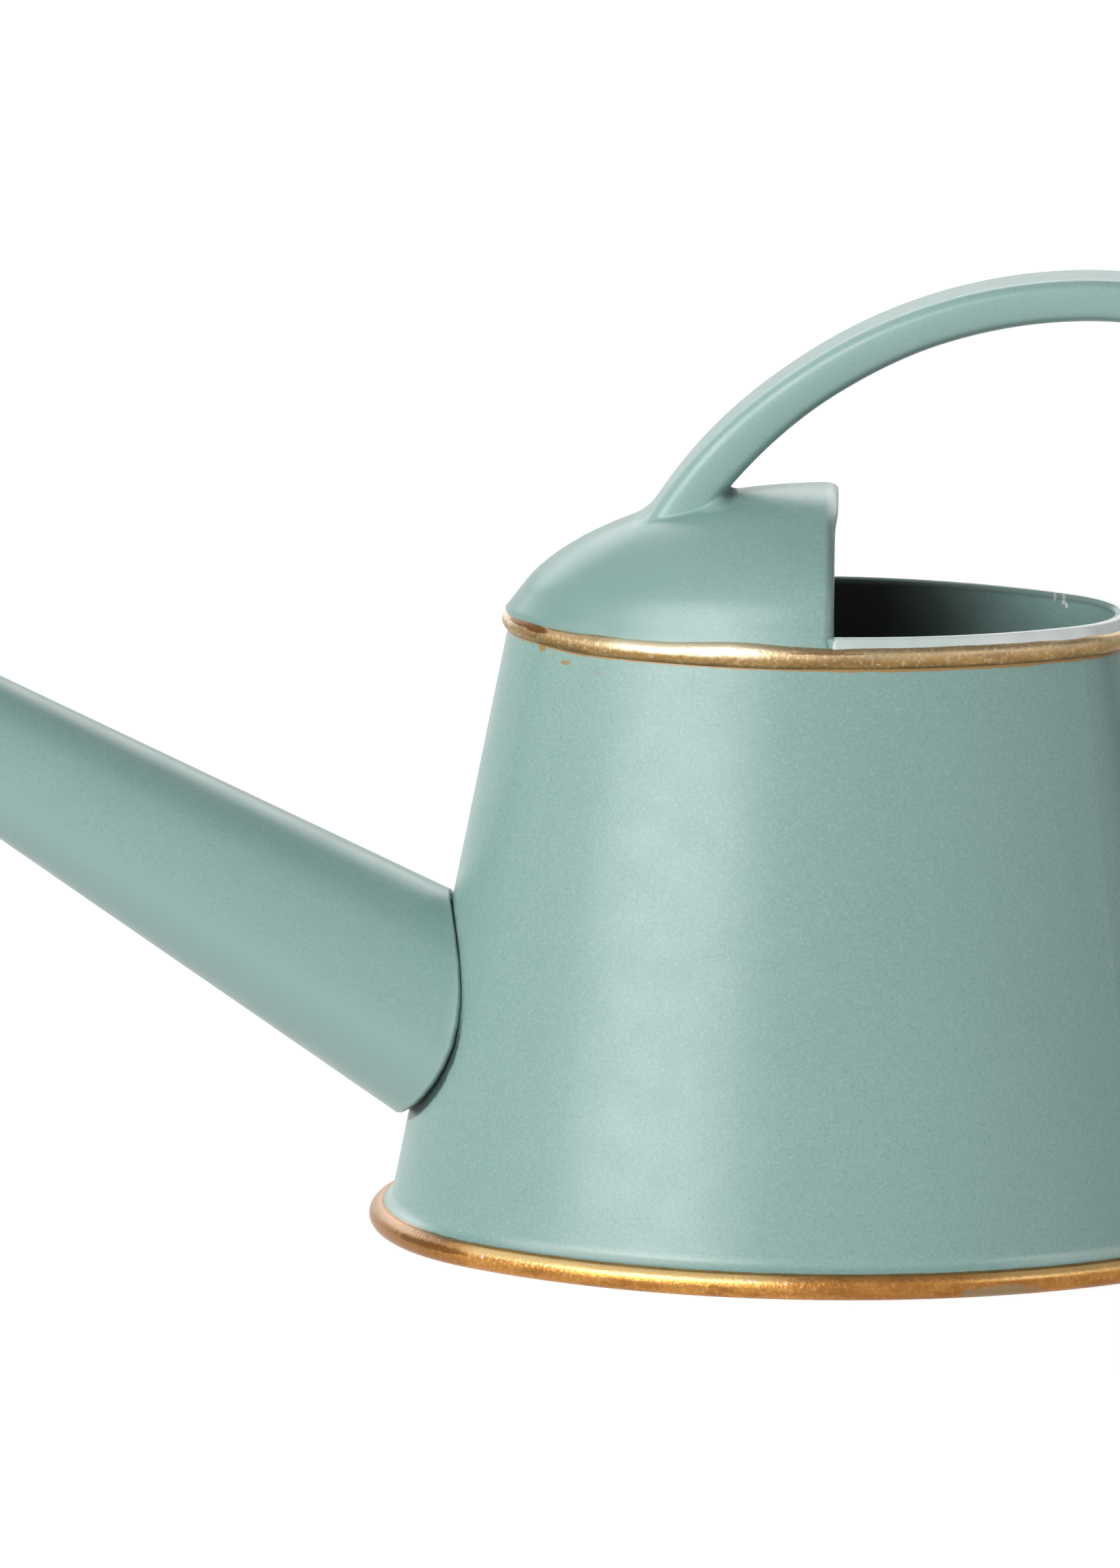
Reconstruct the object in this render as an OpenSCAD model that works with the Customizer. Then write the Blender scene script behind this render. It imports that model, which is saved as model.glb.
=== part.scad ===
// Toy watering can: an oval tapered body with beaded edges, a half hood over the front,
// a looped bar handle and a long tapered spout that ends in a rose.
// Millimetres, +Z up. The foot stands on z = 0 and the spout points to -X.

/* [Body] */
// Outside length of the wall at the foot
body_len = 44; // [40:0.5:48]
// Outside width of the wall at the foot
body_wid = 31.2; // [28:0.2:36]
// Height of the lip above the foot
body_h = 32.7; // [29:0.1:36]
// Outside length of the wall at the lip
rim_len = 31.5; // [29:0.5:34]
// Thickness of the sheet wall
wall_t = 0.65; // [0.5:0.05:0.9]
// Radius that breaks the lip's two edges
lip_r = 0.2; // [0.1:0.05:0.24]

/* [Beads] */
// Diameter of the bead round the foot
foot_bead_d = 1.34; // [1.1:0.02:1.8]
// Depth of the flat that the foot bead stands on
foot_flat = 0.08; // [0.04:0.02:0.2]
// How far the foot bead's middle stands out from the wall
foot_bead_out = 0.32; // [0.1:0.02:0.44]
// Diameter of the bead under the lip
rim_bead_d = 1.12; // [0.9:0.02:1.5]
// How far the rim bead's middle is sunk behind the wall's face
rim_bead_in = 0.16; // [0:0.02:0.3]
// Plain wall left between the rim bead and the lip
rim_plain = 0.52; // [0.3:0.02:1]

/* [Base] */
// Thickness of the pressed base plate
base_t = 0.6; // [0.4:0.05:0.9]
// Height of the plate's underside above the foot
base_rise = 1.6; // [1.2:0.1:3]
// Thickness of the base plate's turned-down skirt
skirt_t = 0.5; // [0.4:0.05:0.8]
// Height of the wall's and the skirt's lower edges above the ground
edge_lift = 0.15; // [0.1:0.05:0.3]

/* [Hood] */
// Height of the hood's crown above the lip
hood_h = 6.35; // [5:0.05:8]
// How far behind the middle of the can the hood is cut off
hood_cut = 0.75; // [0:0.05:2]
// Fullness of the hood's curve, as a ratio: 0.5 is an ellipse and 1 a parabola
hood_ratio = 0.64; // [0.55:0.01:0.8]
// Thickness of the hood's sheet
hood_t = 0.65; // [0.5:0.05:0.9]
// How far the hood's edge is set in from the wall's face
hood_in = 0.1; // [0:0.02:0.15]

/* [Handle] */
// Height of the top of the handle above the foot
handle_top = 50.1; // [46:0.1:55]
// Radius of the front arc, from the hood to the top, to the middle of the bar
handle_r = 25.4; // [23:0.1:27]
// How far ahead of the middle of the can the bar lands on the hood
handle_x = 7; // [5:0.1:8]
// Height of the lowest point of the back arc, where the bar comes in to the wall
tail_z = 9.5; // [8:0.5:14]
// Thickness of the bar, seen from the side
bar_t = 2.15; // [2:0.05:3]
// Width of the bar, across the can
bar_w = 4.8; // [3:0.1:5.6]
// Radius of the bar's long edges
bar_r = 0.7; // [0.5:0.05:0.95]
// How far the bar's end shows below the hood's sheet
tang_out = 0.4; // [0.3:0.05:1]

/* [Spout] */
// Height at which the spout's axis meets the front wall
spout_z = 11.66; // [10:0.02:14]
// Slope of the spout's axis above level
spout_angle = 29.65; // [25:0.05:38]
// Length of the spout along its axis
spout_len = 38; // [32:0.5:44]
// Outside diameter where the axis meets the wall
root_d = 11.46; // [10:0.02:12.5]
// Outside diameter at the tip
tip_d = 5.3; // [4.6:0.1:6.4]
// Thickness of the spout's sheet
spout_t = 0.6; // [0.4:0.05:0.8]

/* [Rose] */
// Outside diameter of the rose's rim
rose_d = 12.6; // [11:0.1:15]
// Length of the rose from the spout's tip to its rim
rose_len = 6.6; // [5.5:0.1:9]
// Length of the sleeve that grips the spout's tip
sleeve_len = 2.4; // [1.5:0.1:4]
// Thickness of the rose's sheet
rose_t = 0.55; // [0.4:0.05:0.7]
// Height of the straight rim that holds the face
rose_rim_h = 1.5; // [1.3:0.1:2.5]
// Rise of the domed face
face_rise = 0.9; // [0.5:0.1:1.6]
// Diameter of the sprinkling holes
hole_d = 0.8; // [0.5:0.05:1]
// Rings of holes round the middle one
hole_rings = 3; // [1:1:3]
// Diameter of the bead round the rose's rim
rose_bead_d = 1; // [0.8:0.05:1.3]

/* [Hidden] */
$fn = 96;
mint = [0.56, 0.70, 0.67];
gold = [0.72, 0.53, 0.22];
// Clearance of pieces that slide together before they are soldered
seat_gap = 0.03;
// Clearance of the bar in the hood's straight slot, which the bar's curve also takes up
slot_gap = 0.08;
// Overrun of a cutting shape past the face it cuts
cut = 1;

// The oval is four tangent arcs struck on 3-4-5 triangles: from each end's centre to each
// side's centre is 3 units along, 4 across and 5 straight
unit = (body_len - body_wid) / 4;
end_r = body_wid / 2 - unit;
end_x = 3 * unit;
side_y = 4 * unit;
side_r = end_r + 5 * unit;
join_angle = atan2(4, 3);
// Every arc leans in alike, so the wall's slope is the same all round
lean = (body_len - rim_len) / 2 / body_h;
function wall_x(z) = -lean * z;

foot_bead_z = foot_bead_d / 2 - foot_flat;
rim_bead_z = body_h - rim_plain - rim_bead_d / 2;

hood_rings = 12;
hood_rays = 32;
hood_reach = hood_cut + end_x;

slope = (root_d - tip_d) / 2 / spout_len;
function spout_r(s) = root_d / 2 - slope * s;
// The tube is drawn this far inside the wall, then cut to the wall's curve
spout_in = 0.7 * root_d;
tip_r = tip_d / 2;
rose_r = rose_d / 2;
rim_from = spout_len + rose_len - rose_rim_h;
rose_bead_s = spout_len + rose_len - rose_bead_d / 2;
face_r = rose_r - rose_t - seat_gap;
face_ball = (face_r ^ 2 + face_rise ^ 2) / (2 * face_rise);
// The face's lower edge stands where the flare ends inside the straight rim
face_s = rim_from + rose_t / 2 - sqrt((face_ball - rose_t) ^ 2 - face_r ^ 2);
// The last ring of holes leaves a plain margin of three quarters of a step
hole_step = face_r / (hole_rings + 0.75);

// The ground that one arc of the oval covers: an end is a wedge from the end's centre, and a
// side lies between two such wedges
module sector_area(is_end) {
    along = end_x + 3 * body_len;
    across = 4 * body_len;
    polygon(is_end ? [[end_x, 0], [along, -across], [along, across]]
        : [[-end_x, 0], [end_x, 0], [along, across], [-along, across]]);
}

module sector(is_end) {
    translate([0, 0, -cut])
        linear_extrude(body_h + 2 * cut)
            sector_area(is_end);
}

// A profile, drawn as outward offset and height, carried round the oval: four solids of
// revolution, each cut to its sector and joined into one
module oval_sweep() {
    for (turn = [0, 180])
        rotate(turn) {
            intersection() {
                translate([end_x, 0, 0])
                    rotate(180)
                        rotate_extrude()
                            translate([end_r, 0])
                                children();
                sector(true);
            }
            intersection() {
                translate([0, -side_y, 0])
                    rotate(-90)
                        rotate_extrude()
                            translate([side_r, 0])
                                children();
                sector(false);
            }
        }
}

// The area inside the oval, set off from the foot's outline
module oval_area(off) {
    for (turn = [0, 180])
        rotate(turn) {
            intersection() {
                translate([end_x, 0])
                    circle(end_r + off);
                sector_area(true);
            }
            intersection() {
                translate([0, -side_y])
                    circle(side_r + off);
                sector_area(false);
            }
        }
}

// Everything behind the wall's outer face, as a profile
module wall_backing() {
    polygon([
        [wall_x(-cut), -cut],
        [wall_x(body_h), body_h],
        [wall_x(body_h) - end_r / 4, body_h],
        [wall_x(-cut) - end_r / 4, -cut]
    ]);
}

module wall_profile() {
    top = body_h - lip_r;
    polygon([
        [wall_x(edge_lift), edge_lift],
        [wall_x(top), top],
        [wall_x(top) - wall_t, top],
        [wall_x(edge_lift) - wall_t, edge_lift]
    ]);
    translate([wall_x(top) - wall_t + lip_r, top])
        square([wall_t - 2 * lip_r, lip_r]);
    for (x = [wall_x(top) - lip_r, wall_x(top) - wall_t + lip_r])
        translate([x, top])
            circle(lip_r);
}

// Places its children on the spout's axis, with +Z towards the tip
module on_spout() {
    translate([-body_len / 2 - wall_x(spout_z), 0, spout_z])
        rotate([0, spout_angle - 90, 0])
            children();
}

module spout_bore() {
    on_spout()
        translate([0, 0, -spout_in])
            cylinder(r1 = spout_r(-spout_in) - spout_t, r2 = spout_r(spout_len + cut) - spout_t,
                h = spout_in + spout_len + cut);
}

// The round end of the body, as a full cone: side is -1 at the spout and 1 at the back
module end_cone(side) {
    translate([side * end_x, 0, 0])
        cylinder(r1 = end_r, r2 = end_r + wall_x(body_h), h = body_h);
}

module body_shell() {
    color(mint)
        difference() {
            oval_sweep() wall_profile();
            spout_bore();
        }
}

// The plate is a shallow pan, turned down all round inside the wall
module base_plate() {
    edge = wall_x(base_rise + base_t) - wall_t - seat_gap;
    color(mint)
        difference() {
            translate([0, 0, edge_lift])
                linear_extrude(base_rise + base_t - edge_lift)
                    oval_area(edge);
            translate([0, 0, edge_lift - cut])
                linear_extrude(base_rise - edge_lift + cut)
                    oval_area(edge - skirt_t);
        }
}

module foot_bead() {
    color(gold)
        oval_sweep()
            difference() {
                translate([wall_x(foot_bead_z) + foot_bead_out, foot_bead_z])
                    circle(d = foot_bead_d);
                wall_backing();
                translate([-end_r / 2, -cut])
                    square([end_r, cut]);
            }
}

module rim_bead() {
    color(gold)
        oval_sweep()
            difference() {
                translate([wall_x(rim_bead_z) - rim_bead_in, rim_bead_z])
                    circle(d = rim_bead_d);
                wall_backing();
            }
}

// Distance from the middle of the hood's cut to an oval set off from the foot's, along a ray
function end_hit(off, a) =
    let (under = (end_r + off) ^ 2 - (hood_reach * sin(a)) ^ 2)
    under < 0 ? undef : hood_reach * cos(a) + sqrt(under);
function side_hit(off, a) =
    let (along = side_y * abs(sin(a)) - hood_cut * cos(a))
    sqrt(along ^ 2 - hood_cut ^ 2 - side_y ^ 2 + (side_r + off) ^ 2) - along;
function on_end(d, a) =
    d != undef && atan2(d * abs(sin(a)), d * cos(a) - hood_reach) <= join_angle;
function oval_hit(off, a) =
    let (d = end_hit(off, a))
    on_end(d, a) ? d : side_hit(off, a);

// One surface of the hood, from the crown at the cut to its edge on the lip
function hood_grid(inset) = [
    for (i = [0:hood_rings], j = [0:hood_rays])
        let (
            a = 180 * j / hood_rays - 90,
            reach = sin(90 * i / hood_rings),
            d = reach * oval_hit(wall_x(body_h) - hood_in - inset, a),
            rise = i == hood_rings ? 0 : (1 - reach ^ 2) ^ hood_ratio
        )
        [hood_cut - d * cos(a), d * sin(a), body_h + (hood_h - inset) * rise]
];

function strip(a, b, c, d) = [[a, b, c], [a, c, d]];

// The hood as a sheet: outer and inner surfaces, the edge on the lip and the cut edge
module hood() {
    w = hood_rays + 1;
    n = w * (hood_rings + 1);
    faces = [
        for (i = [0:hood_rings - 1], j = [0:hood_rays - 1])
            let (p = i * w + j)
            each concat(
                i == 0 ? [[0, p + w, p + w + 1]] : strip(p, p + w, p + w + 1, p + 1),
                i == 0 ? [[n, n + p + w + 1, n + p + w]]
                    : strip(n + p, n + p + 1, n + p + w + 1, n + p + w)
            ),
        for (j = [0:hood_rays - 1])
            let (p = hood_rings * w + j)
            each strip(p, n + p, n + p + 1, p + 1),
        for (i = [0:hood_rings - 1])
            let (p = i * w, q = i * w + hood_rays)
            each concat(
                i == 0 ? [[0, n, n + w], [0, n + w, w]] : strip(p, n + p, n + p + w, p + w),
                i == 0 ? [[0, q + w, n + q + w], [0, n + q + w, n]]
                    : strip(q, q + w, n + q + w, n + q)
            )
    ];
    color(mint)
        difference() {
            polyhedron(concat(hood_grid(0), hood_grid(hood_t)), faces);
            handle_slot();
        }
}

function crown_z(x) =
    let (u = (hood_cut + x) / oval_hit(wall_x(body_h) - hood_in, 0))
    body_h + hood_h * (1 - u ^ 2) ^ hood_ratio;

// The front arc runs from the hood to the top, and the back arc is a half turn from there
// down to the back wall
front_z = handle_top - bar_t / 2 - handle_r;
land_z = crown_z(handle_x);
top_x = -handle_x + sqrt(handle_r ^ 2 - (land_z - front_z) ^ 2);
land_a = atan2(land_z - front_z, -handle_x - top_x);
// The bar runs on below the hood for twice its thickness, then is cut along the hood's slope
sunk_a = 2 * bar_t / handle_r * 180 / PI;
crown_a = atan((crown_z(handle_x - bar_t) - crown_z(handle_x + bar_t)) / (2 * bar_t));
back_r = (handle_top - bar_t / 2 - tail_z) / 2;

// The bar's rounded section, with room round it where it passes through another piece
module bar_section(room = 0) {
    r = bar_r + room;
    square([bar_t + 2 * room, bar_w - 2 * bar_r], center = true);
    square([bar_t - 2 * bar_r, bar_w + 2 * room], center = true);
    for (x = [-1, 1], y = [-1, 1])
        translate([x * (bar_t / 2 - bar_r), y * (bar_w / 2 - bar_r)])
            circle(r);
}

// The slot in the hood that the bar's end is soldered into
module handle_slot() {
    translate([top_x, 0, front_z])
        rotate([90, 0, 0])
            rotate(land_a)
                translate([handle_r, 0, 0])
                    rotate([90, 0, 0])
                        linear_extrude(4 * bar_t, center = true)
                            bar_section(slot_gap, $fn = 12);
}

// An arc of the bar below the top of the handle, from one angle above +X to another
module bar_arc(z, r, from, to) {
    translate([top_x, 0, z])
        rotate([90, 0, 0])
            rotate(from)
                rotate_extrude(angle = to - from)
                    translate([r, 0])
                        bar_section();
}

module handle() {
    color(mint)
        difference() {
            union() {
                bar_arc(front_z, handle_r, 90, land_a + sunk_a);
                bar_arc(tail_z + back_r, back_r, -90, 90);
            }
            translate([-handle_x, 0, land_z - hood_t - tang_out])
                rotate([0, -crown_a, 0])
                    translate([-4 * bar_t, -bar_w, -4 * bar_t])
                        cube([8 * bar_t, 2 * bar_w, 4 * bar_t]);
            end_cone(1);
        }
}

module spout() {
    color(mint)
        difference() {
            on_spout()
                translate([0, 0, -spout_in])
                    cylinder(r1 = spout_r(-spout_in), r2 = tip_r, h = spout_in + spout_len);
            spout_bore();
            end_cone(-1);
        }
}

// The rose's funnel: a sleeve over the spout's tip, a flare and a straight rim
module rose_cup() {
    sleeve_s = spout_len - sleeve_len;
    end_s = spout_len + rose_len;
    color(mint)
        on_spout()
            rotate_extrude()
                polygon([
                    [spout_r(sleeve_s) + seat_gap, sleeve_s],
                    [spout_r(sleeve_s) + seat_gap + rose_t, sleeve_s],
                    [tip_r + seat_gap + rose_t, spout_len],
                    [rose_r, rim_from],
                    [rose_r, end_s],
                    [rose_r - rose_t, end_s],
                    [rose_r - rose_t, rim_from + rose_t / 2],
                    [tip_r + seat_gap, spout_len + rose_t / 2],
                    [tip_r + seat_gap, spout_len]
                ]);
}

// The domed face, pierced with a hole in the middle and rings of six, twelve and eighteen
module rose_face() {
    color(mint)
        on_spout()
            translate([0, 0, face_s])
                difference() {
                    rotate_extrude()
                        intersection() {
                            difference() {
                                circle(face_ball);
                                circle(face_ball - rose_t);
                            }
                            translate([0, face_ball / 2])
                                square([face_r, face_ball]);
                        }
                    for (ring = [0:hole_rings], k = [0:max(6 * ring, 1) - 1])
                        rotate(60 * k / max(ring, 1))
                            translate([ring * hole_step, 0, 0])
                                cylinder(d = hole_d, h = 2 * face_ball, $fn = 24);
                }
}

module rose_bead() {
    color(gold)
        on_spout()
            rotate_extrude()
                difference() {
                    translate([rose_r, rose_bead_s])
                        circle(d = rose_bead_d);
                    translate([0, rim_from])
                        square([rose_r, rose_len]);
                }
}

body_shell();
base_plate();
foot_bead();
rim_bead();
hood();
handle();
spout();
rose_cup();
rose_face();
rose_bead();
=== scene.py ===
import math

import bpy
from mathutils import Matrix, Vector, noise

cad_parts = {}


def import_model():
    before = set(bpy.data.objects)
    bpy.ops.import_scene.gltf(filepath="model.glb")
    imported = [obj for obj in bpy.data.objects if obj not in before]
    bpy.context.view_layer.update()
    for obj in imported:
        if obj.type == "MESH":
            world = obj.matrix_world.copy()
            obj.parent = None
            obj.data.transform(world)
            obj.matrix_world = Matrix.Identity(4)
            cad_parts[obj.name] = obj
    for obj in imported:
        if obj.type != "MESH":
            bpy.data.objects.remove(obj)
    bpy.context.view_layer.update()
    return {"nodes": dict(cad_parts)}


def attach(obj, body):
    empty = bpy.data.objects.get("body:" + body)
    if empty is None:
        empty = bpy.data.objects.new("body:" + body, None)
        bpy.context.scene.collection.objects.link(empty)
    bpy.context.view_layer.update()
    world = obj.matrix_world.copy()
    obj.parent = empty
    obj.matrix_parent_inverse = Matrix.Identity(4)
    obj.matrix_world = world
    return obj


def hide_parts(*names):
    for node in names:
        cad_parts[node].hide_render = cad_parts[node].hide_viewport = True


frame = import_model()

# Lengths are in millimetres, in the CAD model's frame. A pair that is named FROM_TO, ON or OFF, or
# after what is measured (X, Y, Z, V, UP, HIGH, FINE), gives where something sets in and where it is
# full. A pair named RAGGED gives the size and the depth of the lumps in an edge.
MM = 0.001

# Body: an oval of four arcs, laid out on triangles of 3, 4 and 5 units
BODY_LEN = 44
BODY_WID = 31.2
BODY_H = 32.7
RIM_LEN = 31.5
LEAN = (BODY_LEN - RIM_LEN) / 2 / BODY_H
UNIT = (BODY_LEN - BODY_WID) / 4
END_R = BODY_WID / 2 - UNIT
END_X = 3 * UNIT
SIDE_Y = 4 * UNIT
SIDE_R = END_R + 5 * UNIT
JOIN_A = math.atan2(4, 3)

# Beads
BEAD_POINTS = 28
BEAD_SINK = 0.3
BEAD_SWELL = 0.025
SWELL_TURNS = 5
RIM_BEAD_R = 0.56
RIM_PLAIN = 0.52
RIM_BEAD_Z = BODY_H - RIM_PLAIN - RIM_BEAD_R
RIM_BEAD_IN = 0.16
RIM_SEED = 3.0
FOOT_BEAD_R = 0.67
FOOT_FLAT = 0.08
FOOT_BEAD_Z = FOOT_BEAD_R - FOOT_FLAT
FOOT_BEAD_OUT = 0.32
FOOT_SEED = 7.0
FOOT_TRIM = 0.01

# How the rim bead wanders: thicker above in two places, thin at the tip, and tilted and lifted
RIM_RAISE = 0.22
RAISE_ON, RAISE_OFF = (1.0, -4.0), (-9.0, -4.0)
RIM_CROWD = 0.06
CROWD_ON, CROWD_OFF = (0.5, 3.5), (13.0, 9.0)
RIM_RAGGED = 0.04
RAGGED_SEED = 5.0
RIM_THIN = 0.12
THIN_FROM_TO = (-14.8, -16.2)
RIM_TILT = 0.06
TILT_FROM_TO = (-3.0, 2.0)
RIM_LIFT = 0.28
LIFT_FROM_TO = (-11.5, -15.5)

# Hood
HOOD_H = 6.35
HOOD_CUT = 0.75
HOOD_POWER = 0.64
HOOD_T = 0.65
HOOD_IN = 0.1
HOOD_EDGE = 0.5
HOOD_START = HOOD_CUT - HOOD_EDGE
HOOD_LEAN = 0.13
LEAN_FROM_TO = (BODY_H + 4.9, BODY_H + 5.9)
HOOD_FOOT = (0.35, 0.9)
HOOD_FRONT = (0.55, 0.28)
HOOD_RINGS = 56
HOOD_STRIPS = 10
HOOD_SPAN = 120
HOOD_RAYS = [math.pi * k / HOOD_SPAN - math.pi / 2 for k in range(HOOD_SPAN + 1)]
# Drops below the lip, with how far the skirt and the lining stand out from the wall there
HOOD_SKIRT = ((0.25, (0.03, 0.33)), (0.5, (0.04, 0.2)), (1.1, (0.04, 0.04)))
SKIRT_STEPS = 5
HOOD_LINING = ((0.1, -0.75), (0.25, -0.7), (0.4, -0.4), (0.5, -0.2),
               (0.6, -0.1), (0.8, -0.06), (1.1, -0.06))

# The lip's profile, as offsets from the top of the wall, and its fade at the hood's cut
LIP_ROOT = (Vector((-0.3, -0.8)), Vector((0.1, -0.8)))
LIP_LOW = Vector((0.31, -0.62))
LIP_TOP = Vector((-0.06, 0.03))
LIP_BROW = Vector((-0.31, 0.03))
LIP_INNER = Vector((-0.36, -0.12))
LIP_HEART = Vector((-0.2, -0.35))
LIP_CUTS = (0.08, 0.15, 0.05)
LIP_FADE = (HOOD_CUT - 0.12, HOOD_CUT - 0.02)
LIP_LEAST = 0.05
LIP_PER_ARC = 240

# The hollow curve over the foot bead
FLARE_R = 0.8
FLARE_SINK = 0.03
FLARE_STEPS = 14
FLARE_TOP = 0.3
FLARE_TUCK = 0.02
FLARE_BACK = 0.15
FLARE_LOW = 0.4

# Handle
HANDLE_TOP = 50.1
HANDLE_R = 25.4
HANDLE_X = 7.0
TAIL_Z = 9.5
SUNK_A = 0.2
BAR_T = 2.15
BAR_W = 4.8
BAR_EDGE = 0.52
BAR_CAMBER = 0.2
BAR_SWELL = 0.07
SWELL_FROM_TO = (-0.28, -0.5)
FOOT_SWELL = (0.08, 0.12)
FOOT_FROM_TO = (-0.5, -0.75)
FILLET_SIDE = 0.2
FILLET_OUT = 0.9
FILLET_IN = 1.3
FILLET_TUCK = (0.25, -0.1)
CORNER_STEPS = 9
SIDE_STEPS = 6
SHANK_ROWS = 8
FILLET_ROWS = 10
BAR_ROWS = 150
BAR_FROM, BAR_TO = -0.62, 0.8

# Spout
SPOUT_Z = 11.66
SPOUT_A = math.radians(29.65)
SPOUT_LEN = 38.0
ROOT_R = 11.46 / 2
TIP_R = 5.3 / 2
SPOUT_T = 0.6
SPOUT_EDGE = 0.28
SPOUT_SIDES = 180
SPOUT_SEARCH = (-8, 12)
JOINT_TOP = 0.03
JOINT_LOW = 0.47
JOINT_POWER = 1.6
JOINT_RAGGED = 0.03
JOINT_TURNS = 9
JOINT_SEED = 2.0
JOINT_LEAST = 0.03
NECK_STEP = 0.45
NECK_SINK = 0.35
NECK_REACH = 1.5
TUBE_ROWS = 60
EDGE_ROWS = 8
SPOUT_ROWS = TUBE_ROWS + EDGE_ROWS + 5


def smooth(value, lo, hi):
    """0 at lo and 1 at hi, with soft ends."""
    t = min(1.0, max(0.0, (value - lo) / (hi - lo)))
    return t * t * (3 - 2 * t)


def solve(f, lo, hi, target):
    """Where f crosses target, f(lo) below it and f(hi) above."""
    for _ in range(50):
        mid = (lo + hi) / 2
        if f(mid) < target:
            lo = mid
        else:
            hi = mid
    return (lo + hi) / 2


def wall_off(z):
    """Offset of the wall's face from the foot's outline at a height."""
    return -LEAN * z


def oval_point(theta, off):
    """Point of the oval whose outward normal has this direction, set off by off."""
    nx, ny = math.cos(theta), math.sin(theta)
    if abs(nx) >= math.cos(JOIN_A):
        cx, cy, r = math.copysign(END_X, nx), 0.0, END_R
    else:
        cx, cy, r = 0.0, -math.copysign(SIDE_Y, ny), SIDE_R
    return cx + (r + off) * nx, cy + (r + off) * ny


def oval_angles(per_arc):
    """Normal directions round the oval, starting at the middle of the back."""
    corners = (-JOIN_A, JOIN_A, math.pi - JOIN_A, math.pi + JOIN_A, 2 * math.pi - JOIN_A)
    out = [a + (b - a) * k / per_arc for a, b in zip(corners, corners[1:]) for k in range(per_arc)]
    half = per_arc // 2
    return out[half:] + [t + 2 * math.pi for t in out[:half]]


def oval_hit(off, a, cut):
    """Distance to the oval from the point at x = cut, with a measured from -X."""
    reach = cut + END_X
    under = (END_R + off) ** 2 - (reach * math.sin(a)) ** 2
    if under >= 0:
        d = reach * math.cos(a) + math.sqrt(under)
        if math.atan2(d * abs(math.sin(a)), d * math.cos(a) - reach) <= JOIN_A:
            return d
    along = SIDE_Y * abs(math.sin(a)) - cut * math.cos(a)
    return math.sqrt(along ** 2 - cut ** 2 - SIDE_Y ** 2 + (SIDE_R + off) ** 2) - along


def hood_z(x, y, inset=0.0):
    """Height of the hood's outer face, or of a face set in from it."""
    dx, dy = HOOD_CUT - x, y
    d = math.hypot(dx, dy)
    share = 0.0
    if d > 1e-9:
        share = d / oval_hit(wall_off(BODY_H) - HOOD_IN - inset, math.atan2(dy, dx), HOOD_CUT)
    return BODY_H + (HOOD_H - inset) * max(0.0, 1 - share * share) ** HOOD_POWER


def wall_gap(p, side):
    """How far a point stands outside the round end of the wall; side is -1 at the spout."""
    r = math.hypot(p.x - side * END_X, p.y)
    return (r - END_R - wall_off(p.z)) / math.sqrt(1 + LEAN * LEAN)


def mesh_object(name, verts, faces, uvs):
    """A smooth mesh with its UV map, in metres."""
    mesh = bpy.data.meshes.new(name)
    mesh.from_pydata([Vector(v) * MM for v in verts], [], faces)
    layer = mesh.uv_layers.new(name="UVMap")
    layer.data.foreach_set("uv", [c for face in uvs for uv in face for c in uv])
    mesh.validate()
    mesh.polygons.foreach_set("use_smooth", [True] * len(mesh.polygons))
    obj = bpy.data.objects.new(name, mesh)
    bpy.context.scene.collection.objects.link(obj)
    return obj


def grid_object(name, rows, wrap_rows=False, flip=False):
    """A skin over closed rows of points; u is millimetres along a row and v the share of rows."""
    nr, nc = len(rows), len(rows[0])
    verts = [p for row in rows for p in row]
    along = [0.0]
    for k in range(nc):
        along.append(along[-1] + (Vector(rows[0][(k + 1) % nc]) - Vector(rows[0][k])).length)
    faces, uvs = [], []
    for i in range(nr if wrap_rows else nr - 1):
        for j in range(nc):
            i2, j2 = (i + 1) % nr, (j + 1) % nc
            quad = [i * nc + j, i * nc + j2, i2 * nc + j2, i2 * nc + j]
            uv = [(along[j], i / nr), (along[j + 1], i / nr),
                  (along[j + 1], (i + 1) / nr), (along[j], (i + 1) / nr)]
            if flip:
                quad.reverse()
                uv.reverse()
            faces.append(quad)
            uvs.append(uv)
    return mesh_object(name, verts, faces, uvs)


def sweep(name, section, per_arc=96):
    """Carries a closed profile of (off, z) points round the oval; it may change on the way."""
    thetas = oval_angles(per_arc)
    rings = [section(t) for t in thetas]
    rows = []
    for i in range(len(rings[0])):
        row = []
        for t, ring in zip(thetas, rings):
            off, z = ring[i]
            row.append((*oval_point(t, off), z))
        rows.append(row)
    return grid_object(name, rows, wrap_rows=True)


def swell(t, phi, seed):
    """The slight unevenness of a brushed bead."""
    at = Vector((math.cos(t) * SWELL_TURNS, math.sin(t) * SWELL_TURNS, seed + phi))
    return 1 + BEAD_SWELL * noise.noise(at)


def bead_section(off, z0, r, seed, t, raised=0.0, floor=-1.0):
    """A round bead's profile; its upper half can be raised, and its back is sunk in the wall."""
    points = []
    for k in range(BEAD_POINTS):
        phi = 2 * math.pi * k / BEAD_POINTS
        rr = r * swell(t, phi, seed)
        z = max(floor, z0 + (rr + raised * (math.sin(phi) > 0)) * math.sin(phi))
        points.append((max(off + rr * math.cos(phi), wall_off(z) - BEAD_SINK), z))
    return points


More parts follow.
